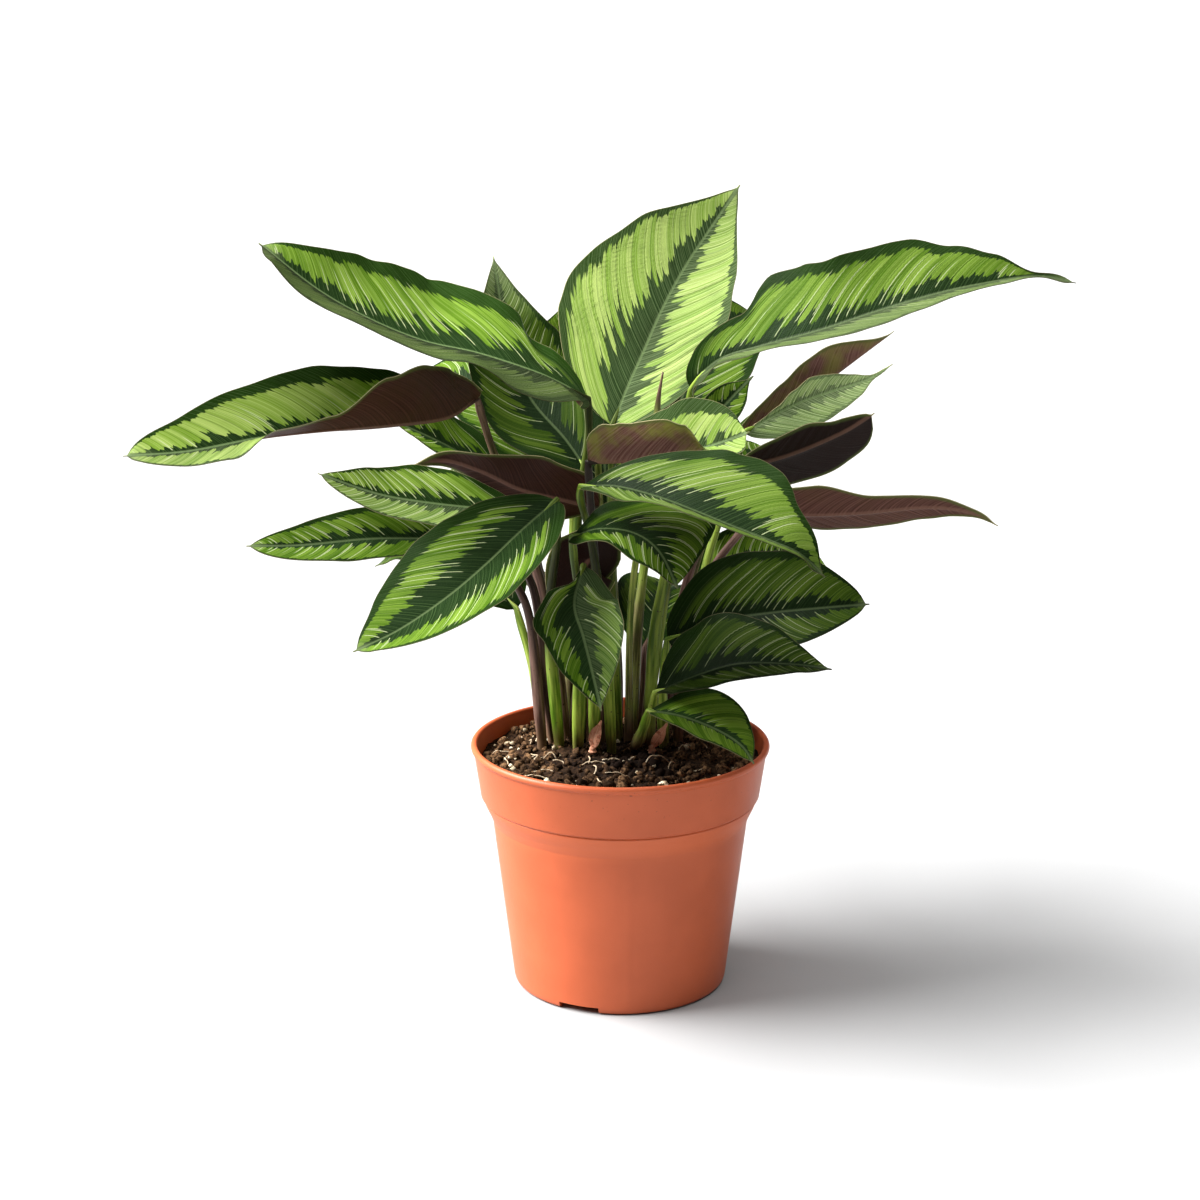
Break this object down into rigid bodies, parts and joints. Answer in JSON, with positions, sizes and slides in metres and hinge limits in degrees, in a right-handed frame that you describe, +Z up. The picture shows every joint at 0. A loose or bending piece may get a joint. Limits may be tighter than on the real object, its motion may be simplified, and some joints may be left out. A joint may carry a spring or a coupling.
{
  "type": "potted calathea",
  "caption": "Bushy striped calathea with long stems and maroon leaf undersides, growing in soil in a round tapered nursery pot; stands on its foot as a house plant.",
  "frame": {"origin": "on the pot's axis at the level of its foot, at the middle of the boss under the pot", "axes": "+Z up along the pot's axis, +X to the right and +Y to the back as the picture shows the plant"},
  "size_m": [0.4132, 0.2965, 0.3755],
  "materials": {
    "pot_plastic": "satin terracotta-coloured moulded plastic",
    "soil": "rough dark potting mix of bark and peat with pale perlite and fibres",
    "leaf_green": "satin leaf, dark green with a feathered lime band and fine cream stripes, maroon underneath",
    "leaf_maroon": "satin maroon underside of a leaf, turned to the front",
    "dry_scale": "dry papery brown bract"
  },
  "bodies": {
    "root": {"pot": "pot_plastic", "soil": "soil", "leaf_upper_left": "leaf_green", "leaf_left_rolled": "leaf_green", "leaf_left_tucked": "leaf_green", "leaf_left_turned": "leaf_maroon", "leaf_left_middle": "leaf_green", "leaf_left_low": "leaf_green", "leaf_front_left": "leaf_green", "leaf_behind_left": "leaf_green", "leaf_behind_top": "leaf_green", "leaf_top": "leaf_green", "leaf_upper_right": "leaf_green", "leaf_right_folded": "leaf_maroon", "leaf_right_pale": "leaf_green", "leaf_right_blunt": "leaf_maroon", "leaf_right_turned": "leaf_maroon", "leaf_centre_rolled": "leaf_green", "leaf_front_right": "leaf_green", "leaf_front_centre": "leaf_green", "leaf_front_hanging": "leaf_green", "leaf_low_right_upper": "leaf_green", "leaf_low_right_middle": "leaf_green", "leaf_low_right_bottom": "leaf_green", "leaf_right_inner": "leaf_green", "leaf_centre_dark": "leaf_maroon", "leaf_rear_left_high": "leaf_green", "leaf_rear_right_high": "leaf_green", "leaf_rear_middle": "leaf_green", "leaf_rear_left_middle": "leaf_green", "leaf_rear_right_middle": "leaf_green", "leaf_rear_left_low": "leaf_green", "leaf_rear_right_low": "leaf_green", "leaf_rear_short_right": "leaf_green", "leaf_rear_short_left": "leaf_green", "new_leaf_spear": "leaf_maroon", "dry_scale_front": "dry_scale", "dry_scale_right": "dry_scale"}
  },
  "joints": []
}
